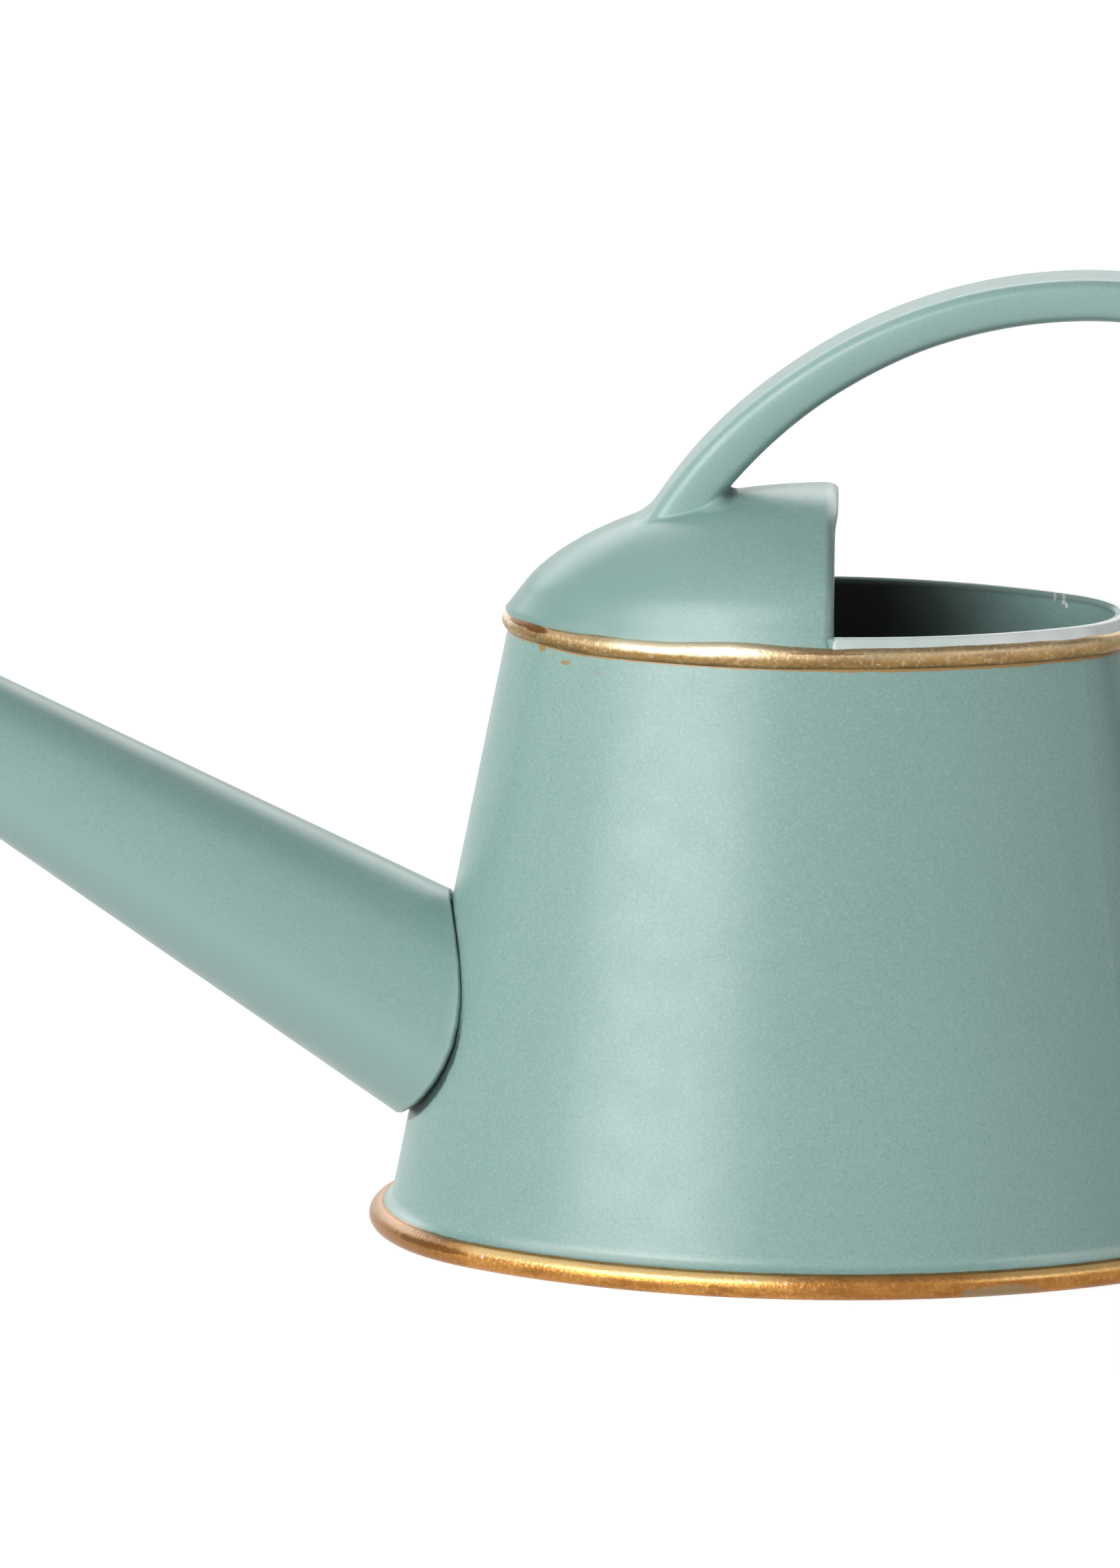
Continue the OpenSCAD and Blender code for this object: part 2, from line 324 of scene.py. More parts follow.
def rim_section(t):
    """The rim bead's profile, which wanders and changes thickness on its way round."""
    x, y = oval_point(t, wall_off(RIM_BEAD_Z))
    raised = RIM_RAISE * smooth(x, *RAISE_ON) * smooth(x, *RAISE_OFF)
    raised += RIM_CROWD * smooth(x, *CROWD_ON) * smooth(x, *CROWD_OFF)
    ragged = RIM_RAGGED * noise.noise(Vector((x / 2, y / 2, RAGGED_SEED)))
    raised += ragged - RIM_THIN * smooth(x, *THIN_FROM_TO)
    middle = RIM_BEAD_Z + RIM_LIFT * smooth(x, *LIFT_FROM_TO) + RIM_TILT * smooth(x, *TILT_FROM_TO)
    return bead_section(wall_off(middle) - RIM_BEAD_IN, middle, RIM_BEAD_R, RIM_SEED, t, raised)


def foot_section(t):
    """The foot bead's profile, flat where it stands on the ground."""
    off = wall_off(FOOT_BEAD_Z) + FOOT_BEAD_OUT
    return bead_section(off, FOOT_BEAD_Z, FOOT_BEAD_R - FOOT_TRIM, FOOT_SEED, t, floor=0.0)


def soft_corner(before, corner, after, cut, steps=6):
    """Points of a corner rounded off over the same length of both its sides."""
    a = corner + (before - corner).normalized() * cut
    b = corner + (after - corner).normalized() * cut
    return [a * (1 - s) ** 2 + corner * 2 * s * (1 - s) + b * s * s
            for s in (k / steps for k in range(steps + 1))]


def lip_section(t):
    """The sloping lip between the rim bead and the mouth; it dies away under the hood."""
    x = oval_point(t, wall_off(BODY_H))[0]
    full = smooth(x, *LIP_FADE)
    foot = Vector((wall_off(BODY_H), BODY_H))
    low, top, brow, inner = foot + LIP_LOW, foot + LIP_TOP, foot + LIP_BROW, foot + LIP_INNER
    points = [foot + root for root in LIP_ROOT]
    points += soft_corner(points[-1], low, top, LIP_CUTS[0])
    points += soft_corner(low, top, brow, LIP_CUTS[1])
    points += soft_corner(top, brow, inner, LIP_CUTS[2]) + [inner]
    heart = foot + LIP_HEART
    return [heart + (p - heart) * max(full, LIP_LEAST) for p in points]


def flare_section(t):
    """The hollow curve that carries the wall out on to the foot bead, the same all round."""
    slant = math.atan(LEAN)
    out = Vector((math.cos(slant), math.sin(slant)))
    rise = Vector((-math.sin(slant), math.cos(slant)))
    middle = Vector((wall_off(FOOT_BEAD_Z) + FOOT_BEAD_OUT, FOOT_BEAD_Z))
    reach = FLARE_R + FOOT_BEAD_R - FLARE_SINK
    up = middle.dot(rise) + math.sqrt(reach ** 2 - (FLARE_R - middle.dot(out)) ** 2)
    centre = out * FLARE_R + rise * up
    to_bead = middle - centre
    first, last = math.atan2(to_bead.y, to_bead.x), slant - math.pi
    points = []
    for k in range(FLARE_STEPS + 1):
        a = first + (last - first) * k / FLARE_STEPS
        points.append(centre + Vector((math.cos(a), math.sin(a))) * FLARE_R)
    points.append(points[-1] + rise * FLARE_TOP - out * FLARE_TUCK)
    return points + [points[-1] - out * FLARE_BACK, Vector((wall_off(FLARE_LOW), FLARE_LOW))]


def hood_front(a, pair):
    """The first of two values at the sides of the hood, and the second towards the spout."""
    share = smooth(abs(a), *HOOD_FRONT)
    return pair[0] * (1 - share) + pair[1] * share


def hood_skin(inset, foot):
    """One face of the hood's sheet, as rings of points from the crown down to near the lip."""
    rows = []
    for i in range(HOOD_RINGS + 1):
        share = math.sin(math.pi / 2 * i / HOOD_RINGS)
        row = []
        for a in HOOD_RAYS:
            reach = oval_hit(wall_off(BODY_H) - HOOD_IN - inset, a, HOOD_START)
            end = solve(lambda d: -hood_z(HOOD_START - d * math.cos(a), d * math.sin(a), inset),
                        0, reach, -BODY_H - hood_front(a, foot))
            x, y = HOOD_START - share * end * math.cos(a), share * end * math.sin(a)
            row.append(Vector((x, y, hood_z(x, y, inset))))
        rows.append(row)
    return rows


def hood_skirt(levels):
    """Rings that carry a face of the hood down on to the wall, as drops and pairs of offsets."""
    rows = []
    for drop, out in levels:
        z = BODY_H - drop
        row = []
        for a in HOOD_RAYS:
            d = oval_hit(wall_off(z) + hood_front(a, out), a, HOOD_START)
            row.append(Vector((HOOD_START - d * math.cos(a), d * math.sin(a), z)))
        rows.append(row)
    return rows


def between(start, end, count):
    """Rows spaced evenly between two rows."""
    return [[a.lerp(b, k / count) for a, b in zip(start, end)] for k in range(1, count)]


def edge_strips(out_col, in_col, steps):
    """Rounded edge from one face of the sheet to the other, leaning a little at the top."""
    strips = []
    for k in range(1, steps):
        phi = math.pi * k / steps
        strip = []
        for o, i in zip(out_col, in_col):
            mid, half = (o + i) / 2, (o - i) / 2
            reach = HOOD_EDGE * min(1.0, half.length / (HOOD_T / 2))
            reach += HOOD_LEAN * smooth(o.z, *LEAN_FROM_TO)
            strip.append(mid + half * math.cos(phi) + Vector((reach * math.sin(phi), 0, 0)))
        strips.append(strip)
    return strips


def hood():
    """The hood: its outer face with a skirt, its lining, and the rounded cut edge between them."""
    outer = hood_skin(0.0, HOOD_FOOT)
    skirt = hood_skirt(HOOD_SKIRT)
    outer += between(outer[-1], skirt[0], SKIRT_STEPS) + skirt
    inner = hood_skin(HOOD_T, (0.0, 0.0))
    inner += hood_skirt([(drop, (out, out)) for drop, out in HOOD_LINING])
    columns = [list(col) for col in zip(*outer)]
    lining = [list(col) for col in zip(*inner)]
    left = edge_strips(columns[0], lining[0], HOOD_STRIPS)
    right = edge_strips(columns[-1], lining[-1], HOOD_STRIPS)
    loop = left[::-1] + columns + right + lining[::-1]
    rows = [list(row) for row in zip(*loop)]
    return grid_object("hood_cap", rows)


# The handle's centre line: a front arc from the hood to the top, then a half turn to the back
FRONT_Z = HANDLE_TOP - BAR_T / 2 - HANDLE_R
LAND_Z = hood_z(-HANDLE_X, 0)
TOP_X = -HANDLE_X + math.sqrt(HANDLE_R ** 2 - (LAND_Z - FRONT_Z) ** 2)
BACK_R = (HANDLE_TOP - BAR_T / 2 - TAIL_Z) / 2
LAND_A = math.atan2(LAND_Z - FRONT_Z, -HANDLE_X - TOP_X)


def bar_frame(s):
    """Centre and outward direction of the bar: s is -1 under the hood, 0 on top, 1 in the wall."""
    if s < 0:
        a = math.pi / 2 - (LAND_A + SUNK_A - math.pi / 2) * s
        c, r = Vector((TOP_X, 0, FRONT_Z)), HANDLE_R
    else:
        a = math.pi / 2 - math.pi * s
        c, r = Vector((TOP_X, 0, TAIL_Z + BACK_R)), BACK_R
    out = Vector((math.cos(a), 0, math.sin(a)))
    return c + out * r, out


def camber(out):
    """How far the bar's side falls back at a distance from its middle."""
    return BAR_CAMBER * (2 * out / BAR_T) ** 2


def bar_side(side):
    """Points across a side of the bar, between its two rounded edges."""
    reach = BAR_T / 2 - BAR_EDGE
    points = []
    for k in range(1, SIDE_STEPS):
        out = side * reach * (1 - 2 * k / SIDE_STEPS)
        points.append(((out, side * (BAR_W / 2 - camber(out))), (0.0, side)))
    return points


def bar_flat(side):
    """Points across the bar's outer (1) or inner (-1) face, between its two rounded edges."""
    reach = BAR_W / 2 - BAR_EDGE - BAR_CAMBER
    return [((side * BAR_T / 2, -side * reach * (1 - 2 * k / SIDE_STEPS)), (side, 0.0))
            for k in range(1, SIDE_STEPS)]


def bar_section():
    """Points of the bar's rounded section with their outward directions, as (out, y)."""
    points = []
    for sx, sy, start in ((1, 1, 0), (-1, 1, 90), (-1, -1, 180), (1, -1, 270)):
        cx, cy = sx * (BAR_T / 2 - BAR_EDGE), sy * (BAR_W / 2 - BAR_EDGE)
        for k in range(CORNER_STEPS + 1):
            a = math.radians(start + 90 * k / CORNER_STEPS)
            d = (math.cos(a), math.sin(a))
            out = cx + BAR_EDGE * d[0]
            points.append(((out, cy + BAR_EDGE * d[1] - sy * camber(out)), d))
        points += bar_side(sy) if sx == sy else bar_flat(sx)
    return points


def bar_point(s, point):
    """A point of the section, carried along the bar, which swells towards the hood."""
    c, out = bar_frame(s)
    foot = smooth(s, *FOOT_FROM_TO)
    below = BAR_SWELL * smooth(s, *SWELL_FROM_TO) + FOOT_SWELL[0] * foot
    below *= smooth(point[0], 0.0, -BAR_T / 2)
    above = FOOT_SWELL[1] * foot * smooth(point[0], 0.0, BAR_T / 2)
    return c + out * (point[0] - below + above) + Vector((0, point[1], 0))


def over_hood(p):
    return p.z - hood_z(p.x, p.y) if p.x < HOOD_CUT else HOOD_H


def hood_axis(p):
    return Vector((0, 0, 1))


def settle_hood(p, h):
    return Vector((p.x, p.y, hood_z(p.x, p.y) + h))


def over_back(p):
    return wall_gap(p, 1)


def back_axis(p):
    return Vector((p.x - END_X, p.y, 0)).normalized()


def settle_back(p, h):
    r = END_R + wall_off(p.z) + h * math.sqrt(1 + LEAN * LEAN)
    a = math.atan2(p.y, p.x - END_X)
    return Vector((END_X + r * math.cos(a), r * math.sin(a), p.z))


# The sheets that the bar stands on: height over one, its axis, and a point set on it
HOOD_SHEET = (over_hood, hood_axis, settle_hood)
BACK_SHEET = (over_back, back_axis, settle_back)


def foot_spoke(point, d, end, ring, over, axis, settle):
    """One line of the bar's foot: where its fillet starts, its corner, and its end on the sheet."""
    s = solve(lambda q: over(bar_point(q, point)), end, ring, 0.0)
    corner = bar_point(s, point)
    reach = FILLET_SIDE + ((FILLET_OUT if d[0] > 0 else FILLET_IN) - FILLET_SIDE) * abs(d[0])
    start = solve(lambda q: (bar_point(q, point) - corner).length, s, ring, reach)
    away = bar_frame(s)[1] * d[0] + Vector((0, d[1], 0))
    away -= axis(corner) * away.dot(axis(corner))
    away.normalize()
    tuck, sink = FILLET_TUCK
    landing, hidden = corner + away * reach, corner + away * (reach + tuck)
    return start, corner, settle(landing, 0.0), settle(hidden, sink)


def foot_rows(section, end, ring, sheet):
    """Rows of the bar from a ring down to the sheet that it stands on, with a fillet."""
    spokes = [foot_spoke(point, d, end, ring, *sheet) for point, d in section]
    rows = []
    for k in range(1, SHANK_ROWS + 1):
        rows.append([bar_point(ring + (spoke[0] - ring) * k / SHANK_ROWS, point)
                     for spoke, (point, _) in zip(spokes, section)])
    last = rows[-1]
    for k in range(1, FILLET_ROWS + 1):
        t = k / FILLET_ROWS
        rows.append([start * (1 - t) ** 2 + spoke[1] * 2 * t * (1 - t) + spoke[2] * t * t
                     for start, spoke in zip(last, spokes)])
    rows.append([spoke[3] for spoke in spokes])
    return rows


def handle():
    """The bar, from its foot on the hood round to its foot on the back wall."""
    section = bar_section()
    rows = foot_rows(section, -1.0, BAR_FROM, HOOD_SHEET)[::-1]
    for k in range(BAR_ROWS + 1):
        s = BAR_FROM + (BAR_TO - BAR_FROM) * k / BAR_ROWS
        rows.append([bar_point(s, point) for point, _ in section])
    rows += foot_rows(section, 1.0, BAR_TO, BACK_SHEET)
    return grid_object("handle_bar", rows)


SPOUT_AXIS = Vector((-math.cos(SPOUT_A), 0, math.sin(SPOUT_A)))
SPOUT_UP = Vector((math.sin(SPOUT_A), 0, math.cos(SPOUT_A)))
SPOUT_FOOT = Vector((-END_X - END_R - wall_off(SPOUT_Z), 0, SPOUT_Z))
SPOUT_SLOPE = (ROOT_R - TIP_R) / SPOUT_LEN


def spout_r(s):
    return ROOT_R - SPOUT_SLOPE * s


def spout_point(s, r, phi):
    """A point round the spout's axis; phi is 0 on top."""
    side = Vector((0, r * math.sin(phi), 0))
    return SPOUT_FOOT + SPOUT_AXIS * s + SPOUT_UP * (r * math.cos(phi)) + side


def joint_gap(phi):
    """Width of the open joint at the wall: a hairline on top, widest below, a little ragged."""
    low = (1 - math.cos(phi)) / 2
    at = Vector((math.cos(phi) * JOINT_TURNS, math.sin(phi) * JOINT_TURNS, JOINT_SEED))
    ragged = JOINT_RAGGED * noise.noise(at)
    return max(JOINT_LEAST, JOINT_TOP + JOINT_LOW * low ** JOINT_POWER + ragged)


def spout():
    """The tube with a rounded edge at its foot, a neck sunk in the joint, and its bore."""
    phis = [2 * math.pi * k / SPOUT_SIDES for k in range(SPOUT_SIDES)]
    ends = [solve(lambda s: wall_gap(spout_point(s, spout_r(s), p), -1),
                  *SPOUT_SEARCH, joint_gap(p)) for p in phis]
    spokes = list(zip(ends, phis))

    def tube_row(share):
        row = []
        for e, p in spokes:
            s = SPOUT_LEN + (e + SPOUT_EDGE - SPOUT_LEN) * share
            row.append(spout_point(s, spout_r(s), p))
        return row

    def edge_row(a):
        lift, drop = SPOUT_EDGE * (1 - math.sin(a)), SPOUT_EDGE * (1 - math.cos(a))
        return [spout_point(e + lift, spout_r(e) - drop, p) for e, p in spokes]

    def neck_row(step, sunk):
        row = []
        for e, p in spokes:
            depth = sunk * (joint_gap(p) * NECK_REACH + NECK_SINK)
            row.append(spout_point(e - depth, spout_r(e) - step, p))
        return row

    rows = [tube_row(k / TUBE_ROWS) for k in range(TUBE_ROWS + 1)]
    rows += [edge_row(math.pi / 2 * k / EDGE_ROWS) for k in range(1, EDGE_ROWS + 1)]
    rows += [neck_row(NECK_STEP, 0), neck_row(NECK_STEP, 1), neck_row(SPOUT_T, 1)]
    rows.append([spout_point(SPOUT_LEN, TIP_R - SPOUT_T, p) for p in phis])
    return grid_object("spout_tube", rows, wrap_rows=True, flip=True)


# Colours; the golds are a dark, a body and a light tone
MINT_LIGHT = (0.275, 0.438, 0.405, 1)
MINT_DARK = (0.252, 0.410, 0.378, 1)
# Grain tones, which also serve as painted light and painted shade
GRAIN_LIGHT_AND_LIT = (0.32, 0.485, 0.45, 1)
GRAIN_DARK_AND_SHADE = (0.212, 0.36, 0.33, 1)
# The tone of specks, also used for painted shade
SPECK_AND_SHADE = (0.09, 0.13, 0.12, 1)
# Painted shade inside the can
INSIDE_SHADE = (0.066, 0.064, 0.063, 1)
# Painted shade in creases and joints
CREASE_SHADE = (0.065, 0.105, 0.098, 1)
CHIP = (0.80, 0.80, 0.78, 1)
PALE = (0.62, 0.71, 0.68, 1)
PALEST = (0.95, 0.97, 0.96, 1)
RIM_GOLD = ((0.20, 0.105, 0.03, 1), (0.39, 0.235, 0.082, 1), (0.80, 0.70, 0.50, 1))
DARK_BROWN = (0.15, 0.06, 0.011, 1)
FOOT_GOLD = ((0.24, 0.09, 0.018, 1), (0.53, 0.245, 0.058, 1), (0.8, 0.48, 0.18, 1))
# Tone of the foot's painted highlights
FOOT_BRIGHT = (0.96, 0.68, 0.29, 1)
COPPER = (0.32, 0.14, 0.04, 1)
# Tone of the foot's painted sheen and glints
CREAM = (0.72, 0.52, 0.36, 1)
WORN = (0.25, 0.22, 0.14, 1)
WHITE = (1, 1, 1, 1)

# Mint paint: sizes of its lumps in millimetres, then their shares
MIDDLE = (0.3, 0.7)
MID_DETAIL, FINE_DETAIL = 3.0, 4.0
DRIFT = 22
MOTTLE = 0.16
MOTTLE_SHARE = 0.75
MOTTLE_LIGHT, MOTTLE_DARK = (0.5, 0.72), (0.48, 0.28)
SPECKS_PER_MM = 0.21
SPECK_R = (0.034, 0.015)
SPECK_PICK = (0.8, 0.81)
SPECK_SHARE = 0.6
PEEL, PEEL_SHARE = 0.35, 0.4
RIPPLE, RIPPLE_SHARE = 3.5, 1.6
MINT_BUMP, MINT_DEPTH = 0.3, 0.02
CLOUD = 2.2
MINT_ROUGH = (0.28, 0.345)
MINT_SHINE = 0.6
ROSE_ROUGH = 0.65
# How strongly painted light lightens the handle
HANDLE_LIT = 0.4

# Painted shade in the handle's crook, rougher there too: its middle, how it is stretched, and its
# edge
CROOK = (-4.9, 0, 38.7)
CROOK_SHAPE = (1, 0.25, 1)
CROOK_FROM_TO = (1.1, 0.4)
CROOK_RAGGED = (0.4, 0.3)
CROOK_SHADE_SHARE, CROOK_ROUGH = 0.8, 0.9

# The can's inside, the lip and the hood
HEART = (0, 0, 20)
INSIDE_FROM_TO = (0.4, -0.4)
# Where the painted shade inside the can sets in along x, and its ragged edge
INSIDE_SHADE_X = (14.8, 3.6)
INSIDE_SHADE_RAGGED = (3.0, 3.0)
LIP_LUMP = 1.5
LIP_PALER = (0.8, 1.0)
PALEST_X = (3.0, 14.0)
# Painted shade on the hood towards the spout
HOOD_SHADE_X = (-4.0, -13.0)
HOOD_SHADE = (0.1, 0.95)
# Painted shade low and a painted highlight high on the hood's cut edge
EDGE_X = (HOOD_START - 0.1, HOOD_START + 0.25)
EDGE_SHARE = 0.45
EDGE_SHADE_Z, EDGE_SHEEN_Z = (38.3, 37.6), (37.9, 38.4)
# Painted shade along the far lip: where it lies, its strength, and how much rougher it is there
FAR_LIP_Y, FAR_LIP_Z = (0.0, 2.0), (32.3, 32.5)
FAR_LIP_SHADE, FAR_LIP_ROUGH = 0.6, 0.8

# Painted shade round the spout's joint, by the distance from the spout's skin and by the height
WALL_SHADE_EDGE = (ROOT_R + 0.1, ROOT_R - 0.05)
WALL_SHADE_UP = (2.5, -0.5)
WALL_SHADE_SHARE = (0.15, 1.0)
WALL_SHADE_RAGGED = (0.3, 0.12)

# Painted shade above and light below, by height over the spout's axis; painted shade at its foot,
# by rows of skin
SHADE_UP, SHADE = (-1.0, 0.5), 0.25
PAINTED_LIGHT_UP, PAINTED_LIGHT = (0.2, -1.8), 0.9
SPOUT_FOOT_SHADE_ROWS, SPOUT_FOOT_SHADE = 2, 0.45
NECK_SHADE_ROWS = 3
NECK_SHADE_UP, NECK_SHADE_SHARE = (3.5, -1.0), (0.2, 1.0)

# Gold paint
BRUSH_SHAPE = (0.5, 0.5, 1.6)
GOLD_LUMP = 1.0
GOLD_FINE = 0.2
BODY_LUMPS, BODY_SHARE = (0.35, 0.6), (0.45, 1.0)
FLECK_FINE = (0.5, 0.75)
PORE_FINE, PORE_SHARE = (0.46, 0.28), 0.3
LUMP_RELIEF, FINE_RELIEF = 0.6, 1.7
GOLD_DEPTH = 0.05
ROUGH_SHARE = 0.5
RIM_FLECKS, FOOT_FLECKS = 0.4, 0.45
RIM_METAL, FOOT_METAL, FOOT_PAINTED = 0.75, 0.9, 0.35
RIM_ROUGH, FOOT_ROUGH = (0.27, 0.43), (0.22, 0.36)
RIM_BUMP, FOOT_BUMP = 0.3, 0.36
RUN_EDGE_Z, RUN_TOP_Z = (31.1, 31.14), (32.1, 32.0)
RUN_RAGGED = (0.7, 0.16)

# The rim's painted highlight on top, weak along a plain stretch
HIGHLIGHT_HIGH = (0.1, 0.8)
HIGHLIGHT_RAGGED = (0.5, 0.6)
HIGHLIGHT_X, HIGHLIGHT_SHARE = (-1.0, -5.0), (0.25, 0.95)
PLAIN_ON_X, PLAIN_OFF_X = (-16.0, -15.2), (-9.6, -11.4)
PLAIN_SHARE = 0.2

# The foot, with the painted sheen on its tip, painted highlights on its upper side and the gold's
# edge on the flare
BACK_SHADE_X, BACK_SHADE = (-1.5, 2.5), 0.4
COPPER_X, COPPER_SHARE = (-17.0, -21.0), 0.8
TIP_X, TIP_HIGH, TIP_SHEEN = (-17.5, -20.5), (0.3, 0.75), 0.3
LIT_ON_X, LIT_OFF_X = (-18.5, -16.5), (0.5, -4.0)
LIT_HIGH, LIT_SHARE = (0.25, 0.55), 0.75
RELIT_X, RELIT_SHARE = (7.0, 11.0), 0.6
PAINTED_HIGH, CROWN_HIGH = (0.45, 0.7), (0.96, 0.86)
LINE_X, LINE = (-17.0, -20.5), (0.13, 0.15)
LINE_FROM_TO = (0.06, 0.03)
LINE_RAGGED = (0.6, 0.1)
# Painted highlights on the flare: where they lie along x and round the skin, and their strength
SHEEN_ON_X, SHEEN_OFF_X = (-17.0, -13.5), (-1.0, -8.0)
SHEEN_BACK_X, SHEEN_TIP_X = (8.0, 13.0), (-19.0, -21.0)
SHEEN_ON_V, SHEEN_OFF_V = (0.15, 0.35), (0.8, 0.5)
SHEEN_SHARE = 0.38

# Marks in the paint, and the foot's painted glints: the place in x and z, the half sizes and the
# strength
NEAR, FAR = -1, 1
SPOT_FROM_TO = (1.4, 1.0)
SPOT_SIDE = 0.1
LIP_CHIPS = (((12.15, 32.55), (0.09, 0.22), 1.0), ((12.6, 32.45), (0.1, 0.3), 1.0),
             ((12.75, 32.15), (0.08, 0.16), 1.0))
GOLD_RUNS = (((-14.1, 31.3), (0.22, 0.36), 1.0), ((-12.9, 30.6), (0.26, 0.13), 0.9),
             ((-13.5, 30.95), (0.07, 0.3), 0.3), ((-11.3, 30.33), (0.22, 0.1), 0.35))
# Dark brown marks on the rim and on the foot
RIM_DARK_MARKS = (((-15.0, 32.24), (0.95, 0.17), 0.9), ((-14.4, 32.1), (0.6, 0.16), 1.0),
             ((0.4, 32.0), (2.2, 0.07), 0.6))
FOOT_GLINTS = (((-2.9, 0.98), (0.3, 0.07), 0.8), ((-1.2, 0.9), (0.12, 0.07), 0.8),
               ((-16.7, 0.82), (0.13, 0.1), 0.8))
FOOT_DARK_MARK = ((-19.4, 0.8), (2.4, 0.24))
DARK_MARK_RAGGED, DARK_MARK_SHARE = (0.5, 0.9), 0.8
FOOT_WORN = ((9.6, 0.28), (2.7, 0.46))
WORN_RAGGED, WORN_SHARE = (0.6, 1.0), 0.65


def add(tree, kind, inputs=None, **props):
    """A node with its settings, and with its inputs set or linked."""
    node = tree.nodes.new(kind)
    for key, value in props.items():
        setattr(node, key, value)
    for key, value in (inputs or {}).items():
        if isinstance(value, bpy.types.NodeSocket):
            tree.links.new(value, node.inputs[key])
        else:
            node.inputs[key].default_value = value
    return node


def calc(tree, op, a, b=0.0, clamp=False):
    return add(tree, "ShaderNodeMath", {0: a, 1: b}, operation=op, use_clamp=clamp).outputs[0]


def plus(tree, a, b):
    return calc(tree, "ADD", a, b)


def minus(tree, a, b):
    return calc(tree, "SUBTRACT", a, b)


def most(tree, a, b):
    return calc(tree, "MAXIMUM", a, b)


def times(tree, first, *rest):
    for value in rest:
        first = calc(tree, "MULTIPLY", first, value)
    return first


def vector(tree, op, a, b):
    return add(tree, "ShaderNodeVectorMath", {0: a, 1: b}, operation=op).outputs[0]


def dot(tree, a, b):
    return add(tree, "ShaderNodeVectorMath", {0: a, 1: b}, operation="DOT_PRODUCT").outputs["Value"]


def length(tree, a):
    return add(tree, "ShaderNodeVectorMath", {0: a}, operation="LENGTH").outputs["Value"]


def axes(tree, a):
    return add(tree, "ShaderNodeSeparateXYZ", {0: a}).outputs


def skin_uv(tree):
    """The two numbers of a skin's UV map: millimetres along a row, and the share of rows."""
    return axes(tree, add(tree, "ShaderNodeTexCoord").outputs["UV"])


def ramp(tree, value, lo, hi):
    """0 at lo and 1 at hi, smoothly; lo may be the larger."""
    return add(tree, "ShaderNodeMapRange", {"Value": value, "From Min": lo, "From Max": hi},
               interpolation_type="SMOOTHSTEP").outputs[0]


def band(tree, value, on, off):
    """1 between two soft edges."""
    return times(tree, ramp(tree, value, *on), ramp(tree, value, *off))


def spread(tree, value, lo, hi):
    """A value from 0 to 1 as one from lo to hi."""
    return add(tree, "ShaderNodeMapRange", {"Value": value, "To Min": lo, "To Max": hi}).outputs[0]


def mix(tree, factor, a, b):
    return add(tree, "ShaderNodeMix", {0: factor, 6: a, 7: b}, data_type="RGBA").outputs[2]


def grain(tree, place, size, detail=2.0):
    """Noise whose lumps are about so many millimetres across."""
    inputs = {"Vector": place, "Scale": 1 / size, "Detail": detail}
    return add(tree, "ShaderNodeTexNoise", inputs).outputs["Fac"]


def ragged(tree, value, place, size, depth, detail=2.0):
    """A value with noise added, for a ragged edge."""
    return plus(tree, value, times(tree, grain(tree, place, size, detail), depth))


def relief(tree, height, strength, depth):
    """A bump that is so many millimetres deep."""
    inputs = {"Strength": strength, "Distance": depth * MM, "Height": height}
    return add(tree, "ShaderNodeBump", inputs).outputs[0]


def spot(tree, place, at, size, side, lump=0.2, depth=0.5):
    """A ragged spot on the near or far side of the can, given in x and z."""
    x, y, z = axes(tree, place)
    dx = calc(tree, "DIVIDE", minus(tree, x, at[0]), size[0])
    dz = calc(tree, "DIVIDE", minus(tree, z, at[1]), size[1])
    away = calc(tree, "SQRT", plus(tree, times(tree, dx, dx), times(tree, dz, dz)))
    away = ragged(tree, away, place, lump, depth)
    return times(tree, ramp(tree, away, *SPOT_FROM_TO), ramp(tree, y, 0.0, SPOT_SIDE * side))


def spots(tree, place, marks, side, color, paint):
    """A colour with marks of another paint on it."""
    for at, size, strength in marks:
        mark = times(tree, spot(tree, place, at, size, side), strength)
        color = mix(tree, mark, color, paint)
    return color


def new_material(name):
    """A material with its tree, its shader and the place in the can's frame in millimetres."""
    mat = bpy.data.materials.new(name)
    mat.use_nodes = True
    tree = mat.node_tree
    where = add(tree, "ShaderNodeNewGeometry").outputs["Position"]
    inputs = {0: where, "Scale": 1 / MM}
    place = add(tree, "ShaderNodeVectorMath", inputs, operation="SCALE").outputs[0]
    return mat, tree, tree.nodes["Principled BSDF"], place


def mint_color(tree, place):
    """Dusty mint enamel: slow drifts of tone, a fine mottle and a few dark specks."""
    drift = ramp(tree, grain(tree, place, DRIFT, MID_DETAIL), *MIDDLE)
    color = mix(tree, drift, MINT_DARK, MINT_LIGHT)
    mottle = grain(tree, place, MOTTLE, FINE_DETAIL)
    light = times(tree, ramp(tree, mottle, *MOTTLE_LIGHT), MOTTLE_SHARE)
    color = mix(tree, light, color, GRAIN_LIGHT_AND_LIT)
    dark = times(tree, ramp(tree, mottle, *MOTTLE_DARK), MOTTLE_SHARE)
    color = mix(tree, dark, color, GRAIN_DARK_AND_SHADE)
    cells = add(tree, "ShaderNodeTexVoronoi", {"Vector": place, "Scale": SPECKS_PER_MM})
    pick = add(tree, "ShaderNodeSeparateColor", {0: cells.outputs["Color"]}).outputs[0]
    speck = times(tree, ramp(tree, cells.outputs["Distance"], *SPECK_R),
                  ramp(tree, pick, *SPECK_PICK), SPECK_SHARE)
    return mix(tree, speck, color, SPECK_AND_SHADE)


